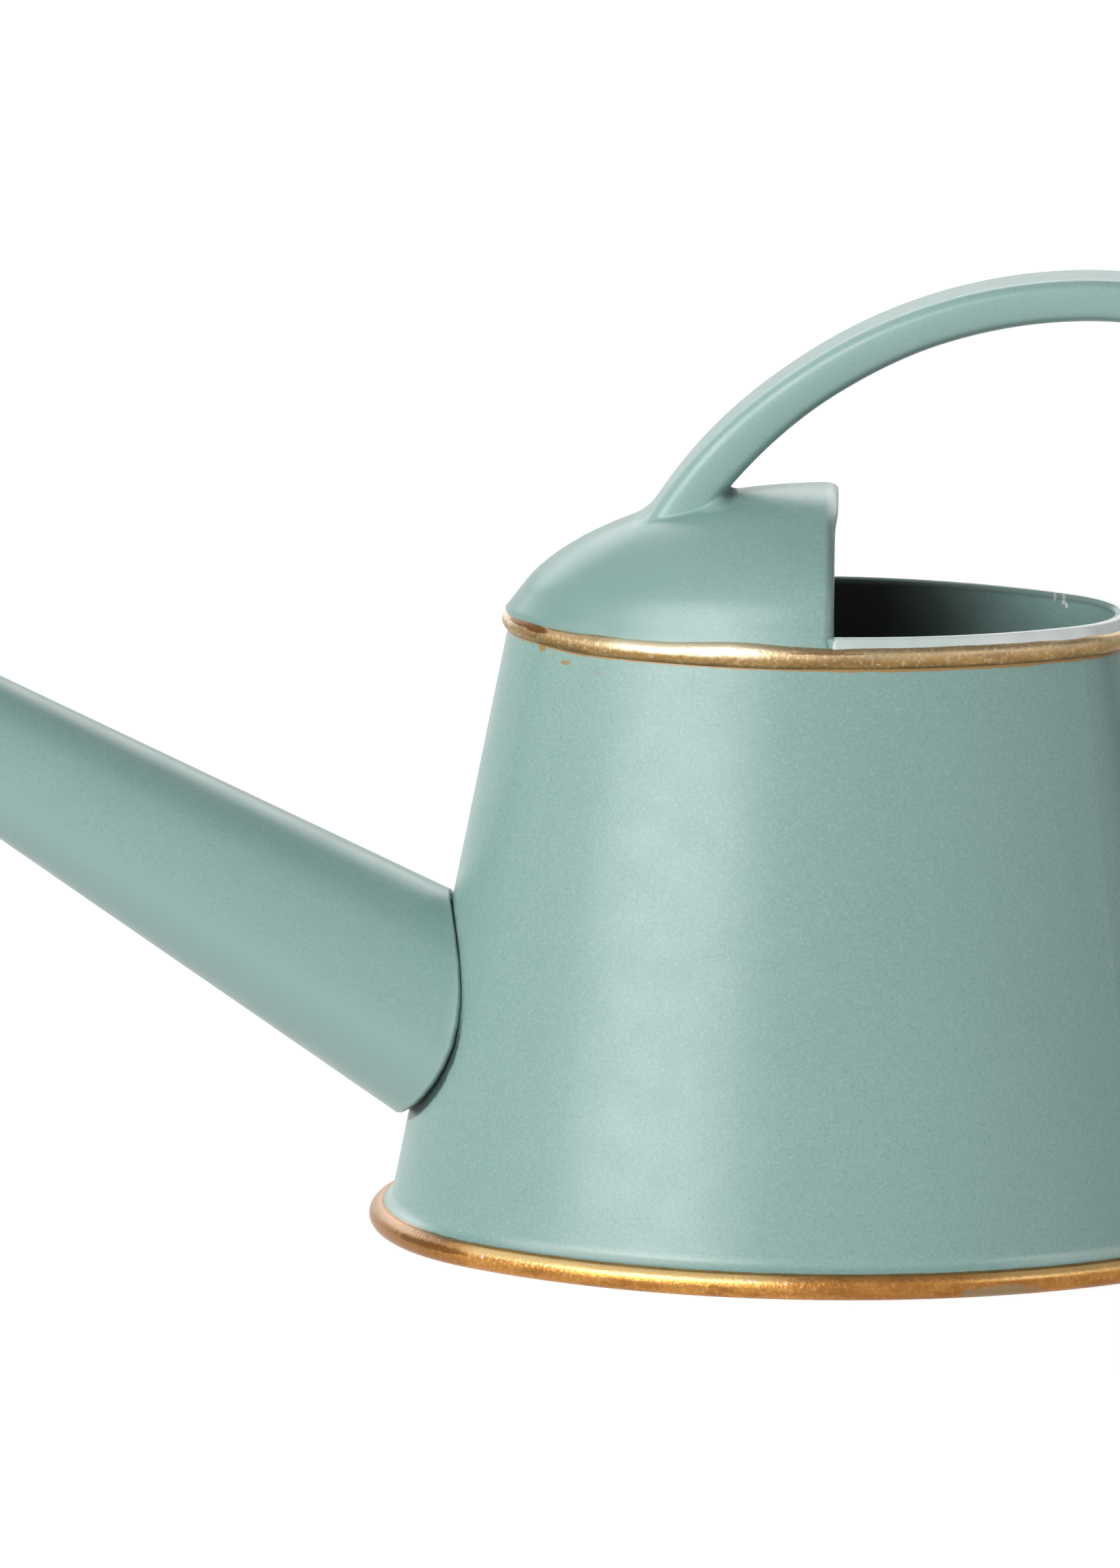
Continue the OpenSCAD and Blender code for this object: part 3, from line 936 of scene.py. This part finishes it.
def finish_mint(tree, shader, place, color, dull=0.0):
    """Satin enamel with clouds, orange peel and slow ripples; dull is its least roughness."""
    clouds = ramp(tree, grain(tree, place, CLOUD, MID_DETAIL), *MIDDLE)
    rough = most(tree, spread(tree, clouds, *MINT_ROUGH), dull)
    peel = times(tree, grain(tree, place, PEEL), PEEL_SHARE)
    ripple = times(tree, grain(tree, place, RIPPLE), RIPPLE_SHARE)
    bump = relief(tree, plus(tree, peel, ripple), MINT_BUMP, MINT_DEPTH)
    tree.links.new(color, shader.inputs["Base Color"])
    tree.links.new(rough, shader.inputs["Roughness"])
    tree.links.new(bump, shader.inputs["Normal"])
    shader.inputs["Specular IOR Level"].default_value = MINT_SHINE


def mint_material():
    """Plain enamel."""
    mat, tree, shader, place = new_material("mint_enamel")
    finish_mint(tree, shader, place, mint_color(tree, place))
    return mat


def rose_material():
    """The rose's face, which the water has dulled."""
    mat, tree, shader, place = new_material("mint_rose")
    finish_mint(tree, shader, place, mint_color(tree, place), ROSE_ROUGH)
    return mat


def handle_material():
    """The handle's enamel with painted light all over, and painted shade in the crook over the
    hood.
    """
    mat, tree, shader, place = new_material("mint_handle")
    from_crook = vector(tree, "MULTIPLY", vector(tree, "SUBTRACT", place, CROOK), CROOK_SHAPE)
    edge = ragged(tree, length(tree, from_crook), place, *CROOK_RAGGED)
    crook_shade = ramp(tree, edge, *CROOK_FROM_TO)
    # Painted light over the whole handle, then painted shade in the crook
    color = mix(tree, HANDLE_LIT, mint_color(tree, place), GRAIN_LIGHT_AND_LIT)
    color = mix(tree, times(tree, crook_shade, CROOK_SHADE_SHARE), color, CREASE_SHADE)
    finish_mint(tree, shader, place, color, times(tree, crook_shade, CROOK_ROUGH))
    return mat


def inside(tree, place):
    """1 on the faces that look into the can."""
    facing = add(tree, "ShaderNodeNewGeometry").outputs["Normal"]
    outward = dot(tree, facing, vector(tree, "SUBTRACT", place, HEART))
    return ramp(tree, outward, *INSIDE_FROM_TO)


def shade_inside(tree, place, color):
    """Paints shade on the faces inside the can, deepening towards the spout under the hood."""
    reach = ragged(tree, axes(tree, place)[0], place, *INSIDE_SHADE_RAGGED)
    dark = times(tree, inside(tree, place), ramp(tree, reach, *INSIDE_SHADE_X))
    return mix(tree, dark, color, INSIDE_SHADE)


def lip_material():
    """The lip's enamel, paler in lumps, and palest towards the back."""
    mat, tree, shader, place = new_material("mint_lip")
    lumps = ramp(tree, grain(tree, place, LIP_LUMP, MID_DETAIL), *MIDDLE)
    paler = spread(tree, lumps, *LIP_PALER)
    pale = mix(tree, ramp(tree, axes(tree, place)[0], *PALEST_X), PALE, PALEST)
    finish_mint(tree, shader, place, mix(tree, paler, mint_color(tree, place), pale))
    return mat


def hood_material():
    """The hood's enamel: painted shade towards the spout and inside; on its cut edge painted shade
    low and a painted highlight on top.
    """
    mat, tree, shader, place = new_material("mint_hood")
    x, _, z = axes(tree, place)
    # Painted shade towards the spout
    hood_shade = spread(tree, ramp(tree, x, *HOOD_SHADE_X), *HOOD_SHADE)
    color = mix(tree, hood_shade, mint_color(tree, place), GRAIN_DARK_AND_SHADE)
    # Painted shade low and a painted highlight high along the cut edge
    edge = times(tree, ramp(tree, x, *EDGE_X), EDGE_SHARE)
    color = mix(tree, times(tree, edge, ramp(tree, z, *EDGE_SHADE_Z)), color, SPECK_AND_SHADE)
    color = mix(tree, times(tree, edge, ramp(tree, z, *EDGE_SHEEN_Z)), color, PALE)
    finish_mint(tree, shader, place, shade_inside(tree, place, color))
    return mat


def joint_shade(tree, place):
    """Painted shade on the wall round the spout's foot, fainter towards the top of the joint."""
    foot = vector(tree, "SUBTRACT", place, SPOUT_FOOT)
    along, far = dot(tree, foot, SPOUT_AXIS), length(tree, foot)
    away = calc(tree, "SQRT", minus(tree, times(tree, far, far), times(tree, along, along)))
    edge = plus(tree, away, times(tree, along, SPOUT_SLOPE))
    edge = ragged(tree, edge, place, *WALL_SHADE_RAGGED)
    low = spread(tree, ramp(tree, dot(tree, foot, SPOUT_UP), *WALL_SHADE_UP), *WALL_SHADE_SHARE)
    return times(tree, ramp(tree, edge, *WALL_SHADE_EDGE), low)


def gold_runs(tree, place):
    """Where the rim's gold ran below the bead on to the wall."""
    x, _, z = axes(tree, place)
    lift = times(tree, ramp(tree, x, *LIFT_FROM_TO), RIM_LIFT)
    edge = minus(tree, ragged(tree, z, place, *RUN_RAGGED), lift)
    gold = times(tree, ramp(tree, edge, *RUN_EDGE_Z), ramp(tree, z, *RUN_TOP_Z))
    for at, size, strength in GOLD_RUNS:
        gold = most(tree, gold, times(tree, spot(tree, place, at, size, NEAR), strength))
    return times(tree, gold, minus(tree, 1.0, inside(tree, place)))


def wall_material():
    """The body's enamel: painted shade inside, along the dull, chipped far lip and round the spout;
    gold runs.
    """
    mat, tree, shader, place = new_material("mint_wall")
    color = shade_inside(tree, place, mint_color(tree, place))
    color = spots(tree, place, LIP_CHIPS, FAR, color, CHIP)
    # Painted shade round the spout's joint
    color = mix(tree, joint_shade(tree, place), color, CREASE_SHADE)
    color = mix(tree, gold_runs(tree, place), color, RIM_GOLD[1])
    _, y, z = axes(tree, place)
    # Painted shade along the far lip's inner edge, which is also rougher
    far_lip = times(tree, ramp(tree, z, *FAR_LIP_Z), ramp(tree, y, *FAR_LIP_Y))
    color = mix(tree, times(tree, far_lip, FAR_LIP_SHADE), color, SPECK_AND_SHADE)
    finish_mint(tree, shader, place, color, times(tree, far_lip, FAR_LIP_ROUGH))
    return mat


def spout_material():
    """The spout's enamel: painted shade above, painted light below, painted shade at its foot and
    in the joint.
    """
    mat, tree, shader, place = new_material("mint_spout")
    v = skin_uv(tree)[1]
    up = dot(tree, vector(tree, "SUBTRACT", place, SPOUT_FOOT), SPOUT_UP)
    # Painted shade on the upper side, painted light on the underside
    shade = spread(tree, ramp(tree, up, *SHADE_UP), 0.0, SHADE)
    color = mix(tree, shade, mint_color(tree, place), GRAIN_DARK_AND_SHADE)
    color = mix(tree, times(tree, ramp(tree, up, *PAINTED_LIGHT_UP), PAINTED_LIGHT), color, GRAIN_LIGHT_AND_LIT)
    end = TUBE_ROWS + EDGE_ROWS
    # Painted shade at the spout's foot
    spout_foot_shade = ramp(tree, v, (TUBE_ROWS - SPOUT_FOOT_SHADE_ROWS) / SPOUT_ROWS, end / SPOUT_ROWS)
    color = mix(tree, times(tree, spout_foot_shade, SPOUT_FOOT_SHADE), color, SPECK_AND_SHADE)
    # Painted shade in the joint, less towards its top
    dark = ramp(tree, v, (end - NECK_SHADE_ROWS) / SPOUT_ROWS, end / SPOUT_ROWS)
    dark = times(tree, dark, spread(tree, ramp(tree, up, *NECK_SHADE_UP), *NECK_SHADE_SHARE))
    finish_mint(tree, shader, place, mix(tree, dark, color, CREASE_SHADE))
    return mat


def gold_color(tree, place, tones, flecks):
    """Gold paint with lumps of tone, bright flecks and dark pores: its colour and its relief."""
    dark, body, light = tones
    lumps = grain(tree, vector(tree, "MULTIPLY", place, BRUSH_SHAPE), GOLD_LUMP, FINE_DETAIL)
    fine = grain(tree, place, GOLD_FINE, FINE_DETAIL)
    color = mix(tree, spread(tree, ramp(tree, lumps, *BODY_LUMPS), *BODY_SHARE), dark, body)
    color = mix(tree, times(tree, ramp(tree, fine, *FLECK_FINE), flecks), color, light)
    color = mix(tree, times(tree, ramp(tree, fine, *PORE_FINE), PORE_SHARE), color, dark)
    return color, plus(tree, times(tree, fine, FINE_RELIEF), times(tree, lumps, LUMP_RELIEF))


def finish_gold(tree, shader, color, height, metallic, rough, strength):
    """Metallic paint, rougher on the high spots of its relief."""
    tree.links.new(color, shader.inputs["Base Color"])
    shader.inputs["Metallic"].default_value = metallic
    rough = spread(tree, times(tree, height, ROUGH_SHARE), *rough)
    tree.links.new(rough, shader.inputs["Roughness"])
    tree.links.new(relief(tree, height, strength, GOLD_DEPTH), shader.inputs["Normal"])


def bead_height(tree):
    """Where a point lies on a bead's round: 1 on top and -1 below."""
    return calc(tree, "SINE", times(tree, skin_uv(tree)[1], 2 * math.pi))


def rim_material():
    """The rim's pale gold: a painted highlight on top, and dark brown spots towards the spout."""
    mat, tree, shader, place = new_material("gold_rim")
    color, height = gold_color(tree, place, RIM_GOLD, RIM_FLECKS)
    x = axes(tree, place)[0]
    # Painted highlight on the bead's top, strongest towards the spout
    up = ragged(tree, bead_height(tree), place, *HIGHLIGHT_RAGGED, MID_DETAIL)
    front = spread(tree, ramp(tree, x, *HIGHLIGHT_X), *HIGHLIGHT_SHARE)
    plain = spread(tree, band(tree, x, PLAIN_ON_X, PLAIN_OFF_X), 1.0, PLAIN_SHARE)
    paler = times(tree, ramp(tree, up, *HIGHLIGHT_HIGH), front, plain)
    color = mix(tree, paler, color, RIM_GOLD[2])
    color = spots(tree, place, RIM_DARK_MARKS, NEAR, color, DARK_BROWN)
    finish_gold(tree, shader, color, height, RIM_METAL, RIM_ROUGH, RIM_BUMP)
    return mat


def foot_color(tree, place):
    """The foot's deep gold, with painted shade towards the back, redder towards the spout, and its
    relief.
    """
    color, height = gold_color(tree, place, FOOT_GOLD, FOOT_FLECKS)
    x = axes(tree, place)[0]
    # Painted shade towards the back
    color = mix(tree, times(tree, ramp(tree, x, *BACK_SHADE_X), BACK_SHADE), color, FOOT_GOLD[0])
    red = times(tree, ramp(tree, x, *COPPER_X), COPPER_SHARE)
    return mix(tree, red, color, COPPER), height


def foot_material():
    """The foot's gold: a painted sheen at its tip, dark brown beside it, painted highlights and
    glints above, worn at one place.
    """
    mat, tree, shader, place = new_material("gold_foot")
    color, height = foot_color(tree, place)
    x, high = axes(tree, place)[0], bead_height(tree)
    # Painted sheen on the tip's upper side
    tip = times(tree, ramp(tree, high, *TIP_HIGH), ramp(tree, x, *TIP_X), TIP_SHEEN)
    color = mix(tree, tip, color, CREAM)
    dark_mark = spot(tree, place, *FOOT_DARK_MARK, NEAR, *DARK_MARK_RAGGED)
    color = mix(tree, times(tree, dark_mark, DARK_MARK_SHARE), color, DARK_BROWN)
    # Painted highlights along the upper side
    lit = band(tree, x, LIT_ON_X, LIT_OFF_X)
    lit = most(tree, lit, times(tree, ramp(tree, x, *RELIT_X), RELIT_SHARE))
    lit = times(tree, lit, ramp(tree, high, *LIT_HIGH), ramp(tree, high, *CROWN_HIGH))
    color = mix(tree, times(tree, lit, LIT_SHARE), color, FOOT_BRIGHT)
    # Painted glints
    color = spots(tree, place, FOOT_GLINTS, NEAR, color, CREAM)
    worn = spot(tree, place, *FOOT_WORN, NEAR, *WORN_RAGGED)
    color = mix(tree, times(tree, worn, WORN_SHARE), color, WORN)
    finish_gold(tree, shader, color, height, FOOT_METAL, FOOT_ROUGH, FOOT_BUMP)
    painted = band(tree, high, PAINTED_HIGH, CROWN_HIGH)
    tree.links.new(spread(tree, painted, FOOT_METAL, FOOT_PAINTED), shader.inputs["Metallic"])
    return mat


def flare_material():
    """Mint that runs out on to the foot, with painted highlights and gold over its lower edge."""
    mat, tree, shader, place = new_material("mint_flare")
    v, x = skin_uv(tree)[1], axes(tree, place)[0]
    line = spread(tree, ramp(tree, x, *LINE_X), *LINE)
    edge = minus(tree, ragged(tree, v, place, *LINE_RAGGED, MID_DETAIL), line)
    gold = ramp(tree, edge, *LINE_FROM_TO)
    # Painted highlights
    where = band(tree, x, SHEEN_ON_X, SHEEN_OFF_X)
    where = most(tree, where, ramp(tree, x, *SHEEN_BACK_X))
    where = most(tree, where, ramp(tree, x, *SHEEN_TIP_X))
    sheen = times(tree, band(tree, v, SHEEN_ON_V, SHEEN_OFF_V), where, SHEEN_SHARE)
    mint = mix(tree, sheen, mint_color(tree, place), PALE)
    finish_mint(tree, shader, place, mix(tree, gold, mint, foot_color(tree, place)[0]))
    tree.links.new(times(tree, gold, FOOT_METAL), shader.inputs["Metallic"])
    return mat


def dress(obj, mat):
    obj.data.materials.clear()
    obj.data.materials.append(mat)


# Light levels; 1 is paper white
AMBIENT = 0.56
FLOOR_GLOW = 0.8
OVERHEAD = 0.25
SKY = 0.15
DIM_FROM_TO = (0.1, 0.65)
MIRROR_DIM_FROM_TO = (0.8, 0.93)
MIRROR_TILT = (0.25, 0.2, 1.0)
RIGHT = 0.2
PAPER = (0.41, 0.41, 0.41, 1)
PAPER_ROUGH = 0.9

# In metres: the floor's half width, and each light's place, aim and size, with its power in watts
FLOOR_SIZE = 3.0
KEY = ((-0.53, -0.74, 0.40), (0, 0, 0.02), (0.62, 0.85), 8.8)
RIM = ((-0.1, 0.78, 0.62), (0, 0, 0.03), (1.6, 0.6), 5.6)
SIDE = ((0.64, -0.54, 0.57), (0, 0, 0.02), (0.2, 0.25), 0.5)


def floor():
    """Pale paper: white to the camera and in reflections, and it takes the can's soft shadow."""
    s = FLOOR_SIZE
    mesh = bpy.data.meshes.new("floor")
    mesh.from_pydata([(-s, -s, 0), (s, -s, 0), (s, s, 0), (-s, s, 0)], [], [(0, 1, 2, 3)])
    obj = bpy.data.objects.new("floor", mesh)
    bpy.context.scene.collection.objects.link(obj)
    mat, tree, shader, _ = new_material("floor_paper")
    shader.inputs["Base Color"].default_value = PAPER
    shader.inputs["Roughness"].default_value = PAPER_ROUGH
    shader.inputs["Specular IOR Level"].default_value = 0.0
    path = add(tree, "ShaderNodeLightPath").outputs
    seen = calc(tree, "ADD", path["Is Camera Ray"], path["Is Glossy Ray"], clamp=True)
    seen = calc(tree, "ADD", seen, path["Is Transmission Ray"], clamp=True)
    inputs = {"Color": WHITE, "Strength": times(tree, seen, FLOOR_GLOW)}
    glow = add(tree, "ShaderNodeEmission", inputs).outputs[0]
    both = add(tree, "ShaderNodeAddShader", {0: shader.outputs[0], 1: glow}).outputs[0]
    tree.links.new(both, tree.nodes["Material Output"].inputs["Surface"])
    dress(obj, mat)


def world():
    """White to the camera and in reflections; for the light, dim overhead and on the right."""
    w = bpy.data.worlds.new("studio")
    bpy.context.scene.world = w
    w.use_nodes = True
    tree = w.node_tree
    back = tree.nodes["Background"]
    path = add(tree, "ShaderNodeLightPath").outputs
    toward = add(tree, "ShaderNodeTexCoord").outputs["Generated"]
    x, _, z = axes(tree, toward)
    fill = times(tree, spread(tree, ramp(tree, z, *DIM_FROM_TO), 1.0, SKY), AMBIENT,
                 spread(tree, ramp(tree, x, 0.0, 1.0), 1.0, RIGHT))
    high = dot(tree, toward, MIRROR_TILT)
    paper = spread(tree, ramp(tree, high, *MIRROR_DIM_FROM_TO), 1.0, OVERHEAD)
    mirror = calc(tree, "ADD", path["Is Glossy Ray"], path["Is Transmission Ray"], clamp=True)
    level = most(tree, fill, times(tree, paper, mirror))
    level = most(tree, level, path["Is Camera Ray"])
    back.inputs["Color"].default_value = WHITE
    tree.links.new(level, back.inputs["Strength"])


def area_light(name, place, aim, size, power):
    data = bpy.data.lights.new(name, "AREA")
    data.shape = "RECTANGLE"
    data.size, data.size_y = size
    data.energy = power
    obj = bpy.data.objects.new(name, data)
    bpy.context.scene.collection.objects.link(obj)
    obj.location = place
    obj.rotation_euler = (Vector(aim) - Vector(place)).to_track_quat("-Z", "Y").to_euler()


# The photo's camera, fitted to the can's outline: a long lens, a little above the can.
# PHOTO is the picture's size in pixels and AIM_PX where the point AIM falls in it.
PHOTO = (1624, 2274)
AIM = Vector((0, 0, 16)) * MM
AIM_PX = (1181.36, 1342.22)
DISTANCE = 580.67 * MM
RISE = 0.2015
ROLL = -0.0158
PX_PER_MM = 28.1
SENSOR = 36.0
CLIP = (0.01, 20)


def camera():
    """The camera, turned so that AIM falls where the photo shows it."""
    focal = PX_PER_MM * DISTANCE / MM
    back = Vector((0, -math.cos(RISE), math.sin(RISE)))
    right = Vector((0, 0, 1)).cross(back).normalized()
    up = back.cross(right)
    ray = Vector(((AIM_PX[0] - PHOTO[0] / 2) / focal, (PHOTO[1] / 2 - AIM_PX[1]) / focal, -1))
    turn = Vector((0, 0, -1)).rotation_difference(ray).to_matrix()
    view = turn @ Matrix.Rotation(ROLL, 3, "Z") @ Matrix((right, up, back))
    data = bpy.data.cameras.new("camera")
    data.sensor_width = SENSOR
    data.lens = focal * SENSOR / PHOTO[1]
    data.clip_start, data.clip_end = CLIP
    obj = bpy.data.objects.new("camera", data)
    bpy.context.scene.collection.objects.link(obj)
    obj.matrix_world = Matrix.Translation(AIM + back * DISTANCE) @ view.transposed().to_4x4()
    bpy.context.scene.camera = obj


def place_piece(obj, mat, node=None):
    """Gives a piece its material, body and slot, and hides the CAD node that it stands for, if any.
    """
    dress(obj, mat)
    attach(obj, "root")
    if node:
        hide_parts(node)


def build():
    """The can: pieces over seven of its nodes or beside them, and materials on the other nodes."""
    mint = mint_material()
    rim_gold = rim_material()
    place_piece(hood(), hood_material(), "hood")
    place_piece(handle(), handle_material(), "handle")
    place_piece(spout(), spout_material(), "spout")
    place_piece(sweep("lip_slope", lip_section, LIP_PER_ARC), lip_material())
    place_piece(sweep("foot_flare", flare_section), flare_material())
    place_piece(sweep("rim_roll", rim_section), rim_gold, "rim_bead")
    place_piece(sweep("foot_roll", foot_section), foot_material(), "foot_bead")
    dress(frame["nodes"]["body_shell"], wall_material())
    for node in ("base_plate", "rose_cup"):
        dress(frame["nodes"][node], mint)
    dress(frame["nodes"]["rose_face"], rose_material())
    dress(frame["nodes"]["rose_bead"], rim_gold)


build()
floor()
world()
area_light("key", *KEY)
area_light("rim", *RIM)
area_light("side", *SIDE)
camera()
bpy.context.scene.view_settings.view_transform = "Standard"
